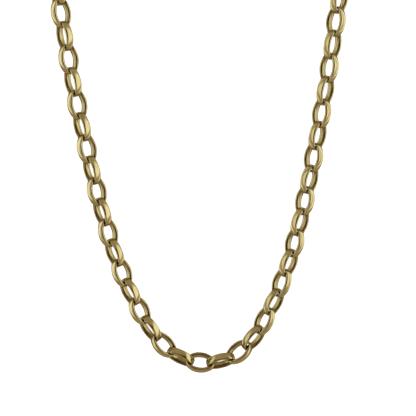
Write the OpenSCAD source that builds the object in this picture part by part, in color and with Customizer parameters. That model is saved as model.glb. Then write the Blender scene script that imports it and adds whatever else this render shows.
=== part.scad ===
// Rolo chain: a necklace of oval links that are cast or bent from a broad D-shaped band.
// It hangs as it does round a neck. The origin is at the nape, where it rests on the neck,
// with X to the right as seen from the front, Y to the back and Z up.

/* [Link] */
// Outside length of a link
link_length = 10.9; // [9.8:0.1:11.5]
// Outside width of a link
link_width = 7.6; // [7:0.1:8.6]
// Width of the band that a link is made of
band_width = 2.45; // [1.8:0.05:2.5]
// Thickness of the band at its middle
band_thickness = 0.9; // [0.7:0.05:1]
// Rise of the band's outer face from its edges to its middle
outer_dome = 0.25; // [0.15:0.01:0.3]
// Rise of the band's flatter inner face
inner_dome = 0.2; // [0.1:0.01:0.25]

/* [Chain] */
// Gap that two links keep where they bear on each other
seat_gap = 0.12; // [0.1:0.01:0.25]
// Angle between one link's face and the next one's, in degrees
cross_angle = 96; // [86:1:98]
// Most that a link is turned out of line with its neighbours, in degrees
link_sway = 1; // [0:0.5:4]
// How far the links' bearing points lie to either side of the chain's middle line
zigzag = 0.12; // [0:0.02:0.2]
// Lean of the chest that the front of the chain lies on, in degrees from upright
chest_lean = 16; // [5:1:30]

/* [Clasp] */
// Outside diameter of the clasp's ring
ring_diameter = 11; // [9:0.5:13]
// Diameter of the ring's round wire
ring_wire = 1.8; // [1.4:0.1:2.2]
// Outside diameter of the eye that is soldered to the ring
eye_diameter = 6.4; // [5.8:0.2:8]
// Diameter of the eye's round wire
eye_wire = 1.2; // [0.9:0.1:1.4]

/* [Hidden] */
$fn = 96;

// Links are numbered from the bottom of the chain: below 0 up the left side as the chain is
// seen from the front, above 0 up the right side
links_each_side = 30;
shown_each_side = 19;

// Chosen points of the chain's middle line, once round from the nape: across, up the chest
// from the bottom link, and behind the chest
route = [
    [0, 182.5, 42.5],
    [-22, 181.5, 39.5],
    [-40, 175.5, 30.5],
    [-50.5, 165.5, 15.5],
    [-53, 149.5, 3],
    [-50.2, 127.5, 0],
    [-46.2, 103, 0],
    [-41.3, 79, 0],
    [-35.8, 55.5, 0],
    [-28.7, 33.5, 0],
    [-22.1, 19.5, 0],
    [-15.5, 9, 0],
    [-7.3, 2.5, 0],
    [0, 0, 0],
    [8, 1.2, 0],
    [14.6, 4, 0],
    [19.4, 9, 0],
    [27.1, 22.5, 0],
    [32.8, 37.5, 0],
    [38.7, 60.5, 0],
    [43.1, 84, 0],
    [47.1, 108.5, 0],
    [50.2, 131.5, 0],
    [52.5, 149.5, 3],
    [50.5, 165.5, 15.5],
    [40, 175.5, 30.5],
    [22, 181.5, 39.5],
];
bottom_row = 13;
// How far behind the neck's skin the middle line passes at the nape
nape_offset = link_width / 2;

// How tight the chain is along its length: link number, share of the taut pitch
slack = [
    [-30, 0.906], [-20, 0.88], [-18, 0.968], [-16, 0.968], [-14, 0.96], [-10, 0.915], [-6, 0.907],
    [-1, 0.912], [0, 0.918], [1, 0.905], [3, 0.882], [5, 0.905], [7, 0.902], [9, 0.93], [11, 0.932],
    [13, 0.948], [15, 0.966], [18, 0.968], [20, 0.91], [30, 0.906],
];
// How far a link's face is turned from the chest towards the inside of the chain:
// link number, degrees
roll = [
    [-30, 47], [-18, 44], [-10, 45], [-4, 45], [0, 42], [2, 47], [4, 51], [8, 48], [18, 49], [30, 47],
];

// Band, whose faces are arcs with a radius in whole thousandths
half_band = band_width / 2;
function arc_radius(rise) = round(1000 * (pow(half_band, 2) + pow(rise, 2)) / (2 * rise)) / 1000;
outer_face_r = arc_radius(outer_dome);
inner_face_r = arc_radius(inner_dome);

// Oval of four arcs on a triangle with sides of 3, 4 and 5 units, which makes them meet smoothly
half_length = link_length / 2;
half_width = link_width / 2;
oval_unit = (half_length - half_width) / 2;
end_radius = half_length - 3 * oval_unit;
side_radius = end_radius + 5 * oval_unit;

// Pitch of a taut chain: the band's corners bear on the curve inside the next link's end
end_bore = end_radius - band_thickness;
seat_rise = end_bore - sqrt(pow(end_bore, 2) - pow(half_band, 2));
seat_depth = max(0, 2 * (seat_rise - inner_dome));
taut_pitch = link_length - 2 * band_thickness - seat_depth - seat_gap;

// Clasp
ring_bore = ring_diameter / 2 - ring_wire;
eye_bore = eye_diameter / 2 - eye_wire;
ring_seat = ring_bore - sqrt(pow(ring_bore, 2) - pow(half_band, 2));
eye_seat = eye_bore - sqrt(pow(eye_bore, 2) - pow(half_band, 2));
// From the ring's middle to the eye's, with their wires soldered through each other by half
clasp_reach = ring_diameter / 2 + eye_diameter / 2 - eye_wire / 2;
// From one link's bearing point on the clasp to the other's
clasp_pitch = ring_bore - ring_seat + clasp_reach + eye_bore - eye_seat - seat_gap;

// Numbers of links as words: link_left_19 to link_left_01, link_bottom, link_right_01 on
function two_digits(n) = n < 10 ? str("0", n) : str(n);
function link_name(i) = i == 0 ? "link_bottom"
    : str(i < 0 ? "link_left_" : "link_right_", two_digits(abs(i)));

// Direction that faces out from the chest
chest_face = [0, -cos(chest_lean), sin(chest_lean)];

// Smooth curve through the chosen points
function unit(v) = v / norm(v);
function on_chest(p) = [
    p.x,
    p.y * sin(chest_lean) + p.z * cos(chest_lean),
    p.y * cos(chest_lean) - p.z * sin(chest_lean),
];
rows = len(route);
raw = [for (p = route) on_chest(p)];
function row(i) = raw[(i + rows) % rows];
function span(i) = norm(row(i + 1) - row(i));
function heading(i) = let (before = span(i - 1 + rows), after = span(i))
    ((row(i) - row(i - 1)) * after / before + (row(i + 1) - row(i)) * before / after)
    / (before + after);
function between(i, t) = let (d = span(i), t2 = t * t, t3 = t2 * t)
    row(i) * (2 * t3 - 3 * t2 + 1) + heading(i) * d * (t3 - 2 * t2 + t)
    + row(i + 1) * (3 * t2 - 2 * t3) + heading(i + 1) * d * (t3 - t2);

// The curve as close points, starting at the bottom link and ending there again
steps = 16;
trace = [
    for (k = [0 : rows - 1]) for (j = [0 : steps - 1]) between(bottom_row + k, j / steps),
    row(bottom_row),
];
function running(values) = [
    for (i = 0, total = 0; i <= len(values);
        total = total + (i < len(values) ? values[i] : 0), i = i + 1) total,
];
trace_at = running([for (i = [0 : len(trace) - 2]) norm(trace[i + 1] - trace[i])]);
trace_length = trace_at[len(trace_at) - 1];

// Places of the links along the chain, measured from the middle of the bottom link
function pitch(i) = taut_pitch * lookup(i, slack);
function reach(side, n) = n < 0 ? 0 : (n == 0 ? pitch(0) / 2 : reach(side, n - 1) + pitch(side * n));
right_reach = [for (n = [0 : links_each_side]) reach(1, n)];
left_reach = [for (n = [0 : links_each_side]) reach(-1, n)];
chain_length = right_reach[links_each_side] + left_reach[links_each_side] + clasp_pitch;

// The route takes the length that the links and the clasp need
fit = chain_length / trace_length;
axis_x = [for (i = [0 : len(trace) - 1]) [trace_at[i] * fit, trace[i].x * fit]];
axis_y = [for (i = [0 : len(trace) - 1]) [trace_at[i] * fit, trace[i].y * fit]];
axis_z = [for (i = [0 : len(trace) - 1]) [trace_at[i] * fit, trace[i].z * fit]];
nape = raw[0] * fit - [0, nape_offset, 0];
function place(s) = let (at = (s + chain_length) % chain_length)
    [lookup(at, axis_x), lookup(at, axis_y), lookup(at, axis_z)] - nape;

// Link i lies between joint(i - 1) and joint(i), which lie on either side of the line by turns
function joint_at(i) = i >= 0 ? right_reach[i] : -left_reach[-1 - i];
function inward(s) = unit(cross(chest_face, place(s + taut_pitch / 2) - place(s - taut_pitch / 2)));
function joint(i) = let (s = joint_at(i), turn = (i >= 0 ? i : -1 - i) % 2 == 0 ? 1 : -1)
    place(s) + inward(s) * turn * zigzag;
function axis(i) = unit(joint(i) - joint(i - 1));

// Direction that faces out from the chest, carried along the chain without twisting it
function carried(face, along) = unit(face - along * (face * along));
face_right = [
    for (i = 0, f = carried(chest_face, axis(0)); i <= links_each_side;
        i = i + 1, f = i > links_each_side ? f : carried(f, axis(i))) f,
];
face_left = [
    for (i = 0, f = carried(chest_face, axis(0)); i <= links_each_side;
        i = i + 1, f = i > links_each_side ? f : carried(f, axis(-i))) f,
];
function face(i) = i < 0 ? face_left[-i] : face_right[i];

// Every second link is turned across the others, and each one sways a little
sway_step = 137.5;
function turned(i) = lookup(i, roll) - (abs(i) % 2) * cross_angle + link_sway * sin(i * sway_step);
function normal(along, out, angle) = out * cos(angle) + cross(out, along) * sin(angle);

module seated(middle, along, up) {
    side = cross(up, along);
    multmatrix([
        [along.x, side.x, up.x, middle.x],
        [along.y, side.y, up.y, middle.y],
        [along.z, side.z, up.z, middle.z],
        [0, 0, 0, 1],
    ]) children();
}

// Section of the band, with its outer face at the given distance from the axis
module band_section(outer) {
    intersection() {
        translate([outer - outer_face_r, 0]) circle(outer_face_r);
        translate([outer - band_thickness + inner_face_r, 0]) circle(inner_face_r);
        translate([outer - band_thickness, -half_band]) square([band_thickness, band_width]);
    }
}

// Band that runs round the origin from one edge of a wedge to the other, across the X axis
module arc(outer, wedge) {
    intersection() {
        rotate_extrude() band_section(outer);
        linear_extrude(2 * band_width, center = true)
            polygon([[0, 0], wedge * outer, [wedge.x, -wedge.y] * outer]);
    }
}

// One link, flat on the XY plane with its length along X
module oval_link() {
    color("darkkhaki") for (half = [0, 180]) rotate(half) {
        translate([3 * oval_unit, 0]) arc(end_radius, [3, 4]);
        translate([0, -4 * oval_unit]) rotate(90) arc(side_radius, [4, 3]);
    }
}

module link(i) {
    seated((joint(i) + joint(i - 1)) / 2, axis(i), normal(axis(i), face(i), turned(i))) oval_link();
}

module links(from, to) {
    for (i = [from : to]) link(i);
}

module loop(outer, wire) {
    rotate_extrude() translate([(outer - wire) / 2, 0]) circle(wire / 2);
}

// Ring clasp in one piece, with the ring round the last link on the right
module clasp() {
    first = joint(links_each_side);
    last = joint(-links_each_side - 1);
    along = unit(last - first);
    out = carried(face(links_each_side), along);
    ring_from_first = ring_bore - ring_seat - seat_gap / 2;
    up = normal(along, out, turned(links_each_side + 1));
    color("darkkhaki") seated(first + along * ring_from_first, along, up) {
        loop(ring_diameter, ring_wire);
        translate([clasp_reach, 0]) loop(eye_diameter, eye_wire);
    }
}

for (i = [-shown_each_side : shown_each_side]) link(i);
links(-links_each_side, -shown_each_side - 1);  // back_links_left
links(shown_each_side + 1, links_each_side);  // back_links_right
clasp();
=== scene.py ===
# %% [markdown]
# # A rolo chain in old gold
#
# A rolo chain, also called a belcher, is a row of equal oval links. Each link is bent from a
# broad band and passes through its two neighbours, which are turned across it. The packed
# model already holds every link at its real size and place, so this lesson gives each one the
# soft edges, small dents and worn gold of the real chain, and then lights it.

# %% Load the frame
import math
import random

import bmesh
import bpy
import numpy as np
from mathutils import Matrix, Vector, noise


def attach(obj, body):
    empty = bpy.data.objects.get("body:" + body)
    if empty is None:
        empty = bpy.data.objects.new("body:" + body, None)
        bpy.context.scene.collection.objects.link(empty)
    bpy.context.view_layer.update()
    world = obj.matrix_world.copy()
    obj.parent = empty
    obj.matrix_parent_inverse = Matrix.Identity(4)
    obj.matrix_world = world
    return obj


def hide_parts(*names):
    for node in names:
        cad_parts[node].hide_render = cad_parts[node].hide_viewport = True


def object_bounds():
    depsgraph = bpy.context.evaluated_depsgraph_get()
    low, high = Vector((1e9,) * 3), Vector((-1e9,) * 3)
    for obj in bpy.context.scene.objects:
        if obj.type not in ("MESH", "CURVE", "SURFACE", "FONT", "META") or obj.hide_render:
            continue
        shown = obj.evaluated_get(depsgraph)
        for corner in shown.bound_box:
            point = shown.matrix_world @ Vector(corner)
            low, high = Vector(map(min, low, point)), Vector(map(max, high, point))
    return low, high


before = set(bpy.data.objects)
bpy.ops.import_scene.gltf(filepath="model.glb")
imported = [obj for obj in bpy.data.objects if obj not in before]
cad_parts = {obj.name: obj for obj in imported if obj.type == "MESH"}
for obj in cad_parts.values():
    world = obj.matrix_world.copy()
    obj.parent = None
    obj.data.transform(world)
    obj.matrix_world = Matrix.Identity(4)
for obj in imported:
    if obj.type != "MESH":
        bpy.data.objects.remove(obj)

MM = 0.001
cad_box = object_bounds()
low, high = cad_box
print("CAD box in mm:", [round((b - a) / MM, 1) for a, b in zip(low, high)])

# %% [markdown]
# ## The view
#
# The chain is seen from the front and a little above, through a long lens. The camera is made
# first, because everything after it is judged through it. Its place and its lens were fitted,
# until the links fell where the photograph has them.

# %% Camera
PICTURE = 416
FOCAL_PIXELS = 1135
LOOKING_DOWN = math.radians(22)
CAMERA_AT = Vector((2.94, -453.36, 50.52)) * MM

lens = bpy.data.cameras.new("view")
lens.sensor_width = 36
lens.lens = lens.sensor_width * FOCAL_PIXELS / PICTURE
lens.clip_start, lens.clip_end = 0.01, 20
camera = bpy.data.objects.new("view", lens)
camera.location = CAMERA_AT
camera.rotation_euler = (math.pi / 2 - LOOKING_DOWN, 0, 0)
bpy.context.scene.collection.objects.link(camera)
bpy.context.scene.camera = camera
print("lens in mm:", round(lens.lens, 1))

# %% [markdown]
# ## The band
#
# A link's band is a flat oval in section: two slightly domed faces with well rounded edges,
# which draw the dark lines beside each bright face. It could be modelled along the whole link,
# but a section that is drawn once and spun keeps the band even. It starts as a rectangle, whose
# four corners are rounded and whose faces are then domed.

# %% Sizes of a link
LENGTH, WIDTH = 10.9 * MM, 7.6 * MM
BAND, THICKNESS = 2.65 * MM, 1.3 * MM
OUTER_DOME, INNER_DOME = 0.12 * MM, 0.25 * MM
CORNER = 0.35 * MM
CORNER_STEPS, FACE_CUTS = 6, 5
unit = (LENGTH - WIDTH) / 4
end_radius = LENGTH / 2 - 3 * unit
print("radius in mm, at the ends:", round(end_radius / MM, 3),
      "and along the sides:", round((end_radius + 5 * unit) / MM, 3))


# %% Section of the band
def band_section(bm, outer_at):
    """Draws the band's closed outline, upright in the XZ plane, its outer face at outer_at."""
    half, inner_at = BAND / 2, outer_at - THICKNESS
    bmesh.ops.create_circle(bm, segments=4, radius=1, matrix=Matrix.Rotation(math.pi / 4, 4, "Z"))
    for v in bm.verts:
        out, up = v.co.x > 0, v.co.y > 0
        v.co = (outer_at - OUTER_DOME if out else inner_at + INNER_DOME, 0, half if up else -half)
    bmesh.ops.bevel(bm, geom=bm.verts[:], affect="VERTICES", offset=CORNER,
                    segments=CORNER_STEPS, profile=0.5, material=-1)
    long_edges = [e for e in bm.edges if e.calc_length() > BAND / 3]
    bmesh.ops.subdivide_edges(bm, edges=long_edges, cuts=FACE_CUTS)
    inner = bm.verts.layers.float.new("inner")
    middle = (outer_at - OUTER_DOME + inner_at + INNER_DOME) / 2
    for v in bm.verts:
        across = v.co.z / half
        v[inner] = 1 if v.co.x < middle else 0
        v.co.x += (1 - across * across) * (OUTER_DOME if v.co.x > middle else -INNER_DOME)


trial = bmesh.new()
band_section(trial, WIDTH / 2)
print("section:", len(trial.verts), "points, in mm",
      [round((max(v.co[k] for v in trial.verts) - min(v.co[k] for v in trial.verts)) / MM, 2)
       for k in (0, 2)])
trial.free()

# %% [markdown]
# ## One link
#
# A link is an oval of four arcs that meet smoothly. It could be swept along a curve, but a spin
# keeps the section upright and its rings evenly apart. The oval is drawn on a triangle with
# sides of 3, 4 and 5 units, so the arcs' middles lie 3 units along and 4 units across. The
# section is spun round each middle in turn, and the last ring is merged with the first. Each
# point carries a mark round with it, which is 1 on the inner face and 0 on the outer one.


# %% Spin a link
def spun_link(end_steps=16, side_steps=12):
    """One link on the XY plane, its length along X."""
    bm = bmesh.new()
    band_section(bm, end_radius)
    end_half, side_half = math.atan2(4, 3), math.atan2(3, 4)
    start = Matrix.Translation((3 * unit, 0, 0)) @ Matrix.Rotation(-end_half, 4, "Z")
    bmesh.ops.transform(bm, matrix=start, verts=bm.verts)
    ring = bm.verts[:] + bm.edges[:]
    for centre, half_turn, steps in (
        ((3 * unit, 0, 0), end_half, end_steps),
        ((0, -4 * unit, 0), side_half, side_steps),
        ((-3 * unit, 0, 0), end_half, end_steps),
        ((0, 4 * unit, 0), side_half, side_steps),
    ):
        done = bmesh.ops.spin(bm, geom=ring, cent=centre, axis=(0, 0, 1), angle=2 * half_turn,
                              steps=steps)
        ring = done["geom_last"]
    bmesh.ops.remove_doubles(bm, verts=bm.verts, dist=0.001 * MM)
    bmesh.ops.recalc_face_normals(bm, faces=bm.faces)
    return bm


pattern = spun_link()
print("link:", len(pattern.verts), "points,", len(pattern.faces), "faces")

# %% [markdown]
# ## Worn seats
#
# Links bear on each other near their ends, and rubbing wears the inner face there. This band is
# thicker than the imported model's, so its neighbours would cut into each other if it weren't
# thinned at these seats. It could be cut with a second shape, but the inner points are simply
# pushed towards the tip, with an eased start. The same measure is kept as a second mark,
# because the seats, where links meet, are also darkened with painted shade and a little dirt.

# %% Wear the seats
SEAT_WEAR = 0.5 * MM
SEAT_FROM, SEAT_TO = 2.6 * MM, 3.8 * MM
inner_mark = pattern.verts.layers.float["inner"]
seat_mark = pattern.verts.layers.float.new("seat")
for v in pattern.verts:
    near = min(1, max(0, (abs(v.co.x) - SEAT_FROM) / (SEAT_TO - SEAT_FROM)))
    near *= near * (3 - 2 * near)
    v[seat_mark] = near
    v.co.x += math.copysign(SEAT_WEAR * near * v[inner_mark], v.co.x)
print("size of the link in mm:",
      [round(2 * max(v.co[k] for v in pattern.verts) / MM, 2) for k in range(3)])

# %% [markdown]
# ## Where each link goes
#
# The links' places could be repeated here as numbers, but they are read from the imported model,
# so that the two can't drift apart. Every link there is a loose shell. Its middle and its three
# axes come from how its surface is spread: widest along the link, least across the band. The
# new link is laid on those axes, so it always stands exactly where the solid one does.


# %% Find the links in a node
def shells(node):
    """The triangles of each loose shell of a node, as arrays of corners in a fixed order."""
    bm = bmesh.new()
    bm.from_mesh(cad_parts[node].data)
    bmesh.ops.remove_doubles(bm, verts=bm.verts, dist=0.0005 * MM)
    bmesh.ops.triangulate(bm, faces=bm.faces)
    bm.faces.index_update()
    taken, found = set(), []
    for first in bm.faces:
        if first.index in taken:
            continue
        taken.add(first.index)
        shell, waiting = [], [first]
        while waiting:
            face = waiting.pop()
            shell.append([list(v.co) for v in face.verts])
            for beside in (f for e in face.edges for f in e.link_faces):
                if beside.index not in taken:
                    taken.add(beside.index)
                    waiting.append(beside)
        found.append(np.array(shell))
    bm.free()
    return sorted(found, key=lambda shell: [round(v / MM, 1) for v in shell.mean((0, 1))])


# %% Lay a link on its shell
# An axis may come out pointing either way. SAME_WAY was found by trying directions, until no
# link's axis was nearly square to it, so its side tells which way each axis has to point.
SAME_WAY = (9, -2, -5)


def seat(triangles):
    """The matrix that lays a link on a shell: X along it, Z across the band."""
    a, b, c = triangles[:, 0], triangles[:, 1], triangles[:, 2]
    area = np.linalg.norm(np.cross(b - a, c - a), axis=1) / 2
    middle = (a + b + c) / 3
    centre = (area[:, None] * middle).sum(0) / area.sum()
    spread = np.zeros((3, 3))
    # a triangle's spread is exactly that of its three corners and nine times its middle
    for points, share in ((a, 1), (b, 1), (c, 1), (middle, 9)):
        away = points - centre
        spread += np.einsum("n,ni,nj->ij", area * share / 12, away, away)
    across, side, along = np.linalg.eigh(spread)[1].T
    across, along = (axis * math.copysign(1, axis @ SAME_WAY) for axis in (across, along))
    side = np.cross(across, along)
    return Matrix.Translation(centre) @ Matrix((along, side, across)).transposed().to_4x4()


bottom = seat(shells("link_bottom")[0])
print("bottom link's middle in mm:", [round(v / MM, 2) for v in bottom.translation])

# %% [markdown]
# ## Years of wear
#
# No two links are quite alike: the band was bent and soldered by hand, and it has been knocked
# soft since. Each link could be sculpted, but 61 of them are quicker to knock about with a slow
# wave of noise, which moves the surface by a few hundredths of a millimetre. The points are
# moved, not only the shading, so the highlights break up as they do on a real dent. The noise
# starts from the clock unless it is given a seed, so it gets one.

# %% Wear and place a link
KNOCKS = 0.06 * MM
KNOCK_SIZE = 2.2 * MM
KNOCK_SEED = 5
FAR = 50
noise.seed_set(KNOCK_SEED)


def worn_link(bm, lay, seed):
    """Adds one link to bm, laid by a matrix and knocked about in its own way."""
    link = pattern.copy()
    lot = random.Random(seed)
    shift = Vector([lot.uniform(-FAR, FAR) for _ in range(3)])
    for v in link.verts:
        v.co += KNOCKS * noise.noise_vector(v.co / KNOCK_SIZE + shift)
    bmesh.ops.transform(link, matrix=lay, verts=link.verts)
    part = bpy.data.meshes.new("part")
    link.to_mesh(part)
    link.free()
    bm.from_mesh(part)
    bpy.data.meshes.remove(part)


def piece(name, bm, material):
    """Makes a smooth piece of a mesh, riding with the chain."""
    mesh = bpy.data.meshes.new(name)
    bm.to_mesh(mesh)
    bm.free()
    for face in mesh.polygons:
        face.use_smooth = True
    mesh.materials.append(material)
    thing = bpy.data.objects.new(name, mesh)
    bpy.context.scene.collection.objects.link(thing)
    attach(thing, "root")
    return thing


print("knocks of up to", round(KNOCKS / MM, 3), "mm along each axis")

# %% [markdown]
# ## Old gold
#
# The gold is a metal with a pale olive tint. A picture of gold could be wrapped round it, but
# nodes stay sharp at any distance. A shader group holds what wear does to it, soft patches of
# tone and hairline scratches that scatter the light, and also painted shade: a darker colour on
# the band's inner face, deepest at the seats where links meet and a little dirt gathers too. The
# links and the clasp both use the group.


# %% Helpers for shader nodes
def add(tree, kind, **values):
    """A node with its properties set, and its inputs by name."""
    node = tree.nodes.new(kind)
    for key, value in values.items():
        if hasattr(node, key) and key not in node.inputs:
            setattr(node, key, value)
        else:
            node.inputs[key.replace("_", " ")].default_value = value
    return node


def join(tree, a, b):
    """Links an output to an input."""
    tree.links.new(a, b)


def maths(tree, kind, *values, clamp=False):
    """The output of a maths node that is fed by sockets or numbers."""
    node = add(tree, "ShaderNodeMath", operation=kind, use_clamp=clamp)
    for socket, value in zip(node.inputs, values):
        if isinstance(value, bpy.types.NodeSocket):
            join(tree, value, socket)
        else:
            socket.default_value = value
    return node.outputs[0]


def sockets(tree, direction, **kinds):
    """Gives a group its named inputs or outputs."""
    for name, kind in kinds.items():
        tree.interface.new_socket(name, in_out=direction, socket_type="NodeSocket" + kind)


# %% Shader group of worn gold
worn = bpy.data.node_groups.new("worn gold", "ShaderNodeTree")
sockets(worn, "INPUT", Gold="Color", Tarnish="Color", Polish="Float", Inner="Float", Seat="Float")
sockets(worn, "OUTPUT", Colour="Color", Roughness="Float", Normal="Vector")
given = worn.nodes.new("NodeGroupInput").outputs
result = worn.nodes.new("NodeGroupOutput").inputs
place = worn.nodes.new("ShaderNodeTexCoord")

# how many to a metre: patches of about 3 mm, lumps of about 1 mm and hairlines of 0.2 mm
PATCHES, LUMPS, HAIR = 300, 900, 5200
patches = add(worn, "ShaderNodeTexNoise", Scale=PATCHES, Detail=3, Roughness=0.6)
lumps = add(worn, "ShaderNodeTexNoise", Scale=LUMPS, Detail=2, Roughness=0.5)
hair = add(worn, "ShaderNodeTexNoise", Scale=HAIR, Detail=4, Roughness=0.7)
for node in (patches, lumps, hair):
    join(worn, place.outputs["Object"], node.inputs["Vector"])
print("worn gold:", len(worn.nodes), "nodes so far")

# %% Painted shade on the inner face and at the seats, and patches of tone
# The inner face gets the dark colour as painted shade, and more of it at the seats, where links
# meet; a little dirt would gather there too. The patches are darker tone at random.
INNER_SHADE, SEAT_SHADE_AND_GRIME = 0.3, 0.5
shade_and_grime = maths(worn, "MULTIPLY_ADD", given["Seat"], SEAT_SHADE_AND_GRIME, INNER_SHADE)
inside = maths(worn, "MULTIPLY", given["Inner"], shade_and_grime)
patch_shade = add(worn, "ShaderNodeMapRange", From_Min=0.35, From_Max=0.7, To_Max=0.25)
join(worn, patches.outputs["Fac"], patch_shade.inputs["Value"])
tone = add(worn, "ShaderNodeMix", data_type="RGBA")
join(worn, maths(worn, "ADD", inside, patch_shade.outputs["Result"], clamp=True),
     tone.inputs["Factor"])
join(worn, given["Gold"], tone.inputs["A"])
join(worn, given["Tarnish"], tone.inputs["B"])
join(worn, tone.outputs["Result"], result["Colour"])
print("inner face:", INNER_SHADE, "darkened, and", INNER_SHADE + SEAT_SHADE_AND_GRIME, "at the seats")

# %% Hairline scratches and lumps
LUMPS_TO_HAIR = 6.0
rough = add(worn, "ShaderNodeMapRange", From_Min=0.3, From_Max=0.75, To_Min=-0.05, To_Max=0.08)
join(worn, hair.outputs["Fac"], rough.inputs["Value"])
join(worn, maths(worn, "ADD", given["Polish"], rough.outputs["Result"], clamp=True),
     result["Roughness"])
bump = add(worn, "ShaderNodeBump", Strength=0.35, Distance=0.01 * MM)
join(worn, maths(worn, "MULTIPLY_ADD", lumps.outputs["Fac"], LUMPS_TO_HAIR, hair.outputs["Fac"]),
     bump.inputs["Height"])
join(worn, bump.outputs["Normal"], result["Normal"])
print("worn gold:", len(worn.nodes), "nodes")


# %% Gold materials
def gold(name, colour, tarnish_and_shade, polish, banded=True):
    """A gold material. A banded one reads the two marks that a link's points carry."""
    material = bpy.data.materials.new(name)
    material.use_nodes = True
    tree = material.node_tree
    shader = tree.nodes["Principled BSDF"]
    shader.inputs["Metallic"].default_value = 1.0
    effect = tree.nodes.new("ShaderNodeGroup")
    effect.node_tree = worn
    effect.inputs["Gold"].default_value = (*colour, 1)
    effect.inputs["Tarnish"].default_value = (*tarnish_and_shade, 1)
    effect.inputs["Polish"].default_value = polish
    # A banded material gets painted shade on the inner face and at the seats.
    if banded:
        for mark, socket in (("inner", "Inner"), ("seat", "Seat")):
            reader = add(tree, "ShaderNodeAttribute", attribute_name=mark)
            join(tree, reader.outputs["Fac"], effect.inputs[socket])
    join(tree, effect.outputs["Colour"], shader.inputs["Base Color"])
    join(tree, effect.outputs["Roughness"], shader.inputs["Roughness"])
    join(tree, effect.outputs["Normal"], shader.inputs["Normal"])
    return material


GOLD = (0.79, 0.68, 0.34)
# The dark colour is both a random darker tone in patches and the painted shade on the inner face
# and at the seats.
TARNISH_AND_SHADE = (0.20, 0.125, 0.05)
POLISH = 0.1
link_gold = gold("old_gold", GOLD, TARNISH_AND_SHADE, POLISH)
clasp_gold = gold("clasp_gold", GOLD, TARNISH_AND_SHADE, POLISH, banded=False)
print("gold:", GOLD, "tarnish:", TARNISH_AND_SHADE)

# %% [markdown]
# ## The chain
#
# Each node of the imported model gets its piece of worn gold, with as many links as it holds. The
# plain ring of the clasp is right as it was packed, so it stays and only gets its gold.

# %% Dress every node of links
made = 0
for number, node in enumerate(sorted(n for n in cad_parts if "link" in n)):
    bm = bmesh.new()
    for count, triangles in enumerate(shells(node)):
        worn_link(bm, seat(triangles), 100 * number + count)
        made += 1
    dressed = piece("gold_" + node, bm, link_gold)
    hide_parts(node)
print("links made:", made)

# %% The clasp
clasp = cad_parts["clasp"]
clasp.data.materials.clear()
clasp.data.materials.append(clasp_gold)
print("clasp:", len(clasp.data.polygons), "faces")

# %% [markdown]
# ## A white room
#
# Metal looks like what it reflects. A cut-out picture shows white all round, but the gold in it
# mirrors a studio. So the chain gets both: a white room that reflections leave out, and a world
# that only they see.


# %% Floor and walls
FLOOR_AT = low.z - 30 * MM
ROOM = 2.2


def white_room():
    """A round floor whose edge curves up into a wall, all of one even white."""
    bm = bmesh.new()
    bmesh.ops.create_uvsphere(bm, u_segments=48, v_segments=24, radius=ROOM)
    for v in bm.verts:
        v.co.z = max(v.co.z, FLOOR_AT)
    bmesh.ops.remove_doubles(bm, verts=bm.verts, dist=MM)
    mesh = bpy.data.meshes.new("white_room")
    bm.to_mesh(mesh)
    bm.free()
    material = bpy.data.materials.new("white")
    material.use_nodes = True
    shader = material.node_tree.nodes["Principled BSDF"]
    shader.inputs["Base Color"].default_value = (0.5, 0.5, 0.5, 1)
    shader.inputs["Roughness"].default_value = 1.0
    shader.inputs["Specular IOR Level"].default_value = 0.0
    shader.inputs["Emission Color"].default_value = (1, 1, 1, 1)
    shader.inputs["Emission Strength"].default_value = 1.0
    mesh.materials.append(material)
    room = bpy.data.objects.new("white_room", mesh)
    room.visible_glossy = False
    room.visible_diffuse = False
    room.visible_shadow = False
    bpy.context.scene.collection.objects.link(room)
    return room


white_room()
print("floor at", round(FLOOR_AT / MM), "mm")

# %% [markdown]
# ## The studio
#
# The gold shows a room that is dark on the camera's side and dim behind, with a warm glow from
# the floor and two tall soft lamps on each side. They could be lamp objects with soft screens,
# but patches painted in the world are as soft as wanted and need no place to stand. Every patch
# is given by its angles as seen from the chain, sideways and up from the way to the camera.


# %% Angles of a reflection
def seen_from(side, up):
    """A direction from the chain, turned sideways and up from the way to the camera."""
    toward = camera.rotation_euler.to_matrix() @ Vector((0, 0, 1))
    right = Vector((1, 0, 0))
    above = toward.cross(right)
    a, e = math.radians(side), math.radians(up)
    return (toward * math.cos(a) + right * math.sin(a)) * math.cos(e) + above * math.sin(e)


world = bpy.data.worlds.new("studio")
bpy.context.scene.world = world
world.use_nodes = True
sky = world.node_tree
way = sky.nodes.new("ShaderNodeTexCoord")


def along(direction):
    """How far the way of a reflection goes along a direction."""
    node = add(sky, "ShaderNodeVectorMath", operation="DOT_PRODUCT")
    node.inputs[1].default_value = direction
    join(sky, way.outputs["Generated"], node.inputs[0])
    return node.outputs["Value"]


ahead, rightward, upward = (along(seen_from(*turn)) for turn in ((0, 0), (90, 0), (0, 90)))
DEGREES = 180 / math.pi
side_angle = maths(sky, "MULTIPLY", maths(sky, "ARCTAN2", rightward, ahead), DEGREES)
up_angle = maths(sky, "MULTIPLY", maths(sky, "ARCSINE", upward), DEGREES)
print("angles of a reflection:", len(sky.nodes), "nodes")


# %% Soft patches of light
def fade(angle, middle, half, soft):
    """1 about the middle and 0 far from it, with a soft edge as far off as half the width."""
    node = add(sky, "ShaderNodeMapRange", interpolation_type="SMOOTHSTEP",
               From_Min=half + soft, From_Max=half - soft)
    join(sky, maths(sky, "ABSOLUTE", maths(sky, "SUBTRACT", angle, middle)), node.inputs["Value"])
    return node.outputs["Result"]


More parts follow.
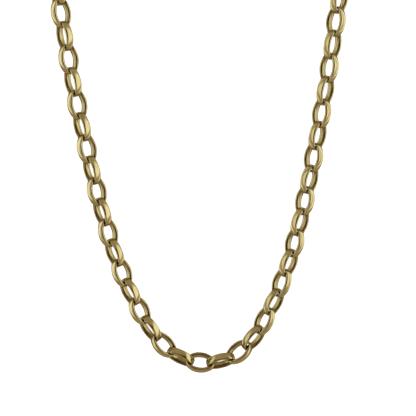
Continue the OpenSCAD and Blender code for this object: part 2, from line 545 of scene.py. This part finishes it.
def painted(under, colour, mask):
    """The light so far, with another colour laid over it where the mask says."""
    node = add(sky, "ShaderNodeMix", data_type="RGBA")
    join(sky, mask, node.inputs["Factor"])
    join(sky, under, node.inputs["A"])
    node.inputs["B"].default_value = (*colour, 1)
    return node.outputs["Result"]


CEILING = (0.35, 0.29, 0.20)
ZONES = [
    # name, colour, and the middle, half width and soft edge of each angle, in degrees
    ("floor glow", (0.36, 0.29, 0.20), [(up_angle, -90, 62, 12)]),
    ("back", (0.22, 0.18, 0.13),
     [(maths(sky, "ABSOLUTE", side_angle), 180, 75, 12), (up_angle, 45, 70, 12)]),
    ("camera's side", (0.03, 0.02, 0.008), [(side_angle, -3, 53, 7), (up_angle, 0, 30, 12)]),
]
base = add(sky, "ShaderNodeRGB")
base.outputs[0].default_value = (*CEILING, 1)
light = base.outputs[0]
for name, colour, edges in ZONES:
    masks = [fade(*edge) for edge in edges]
    light = painted(light, colour, masks[0] if len(masks) == 1 else maths(sky, "MULTIPLY", *masks))
    print(name, colour)

# %% Lamps
LAMP_EDGE = 0.35
LAMPS = [
    # name, colour, side, half width, up, half height, all in degrees
    ("near right lamp", (1.12, 1.1, 1.0), 70, 16, 6, 40),
    ("near left lamp", (0.85, 0.83, 0.77), -69, 14, 6, 40),
    ("far right lamp", (1.05, 1.05, 1.03), 102, 12, 8, 50),
    ("far left lamp", (1.05, 1.05, 1.03), -102, 12, 8, 50),
]
for name, colour, side, half_wide, up, half_tall in LAMPS:
    across = maths(sky, "DIVIDE", maths(sky, "SUBTRACT", side_angle, side), half_wide)
    upright = maths(sky, "DIVIDE", maths(sky, "SUBTRACT", up_angle, up), half_tall)
    squares = maths(sky, "MULTIPLY_ADD", across, across, maths(sky, "MULTIPLY", upright, upright))
    light = painted(light, colour, fade(maths(sky, "SQRT", squares), 0, 1, LAMP_EDGE))
    print(name, "at", side, "degrees")
join(sky, light, sky.nodes["Background"].inputs["Color"])
bpy.context.scene.view_settings.view_transform = "Standard"
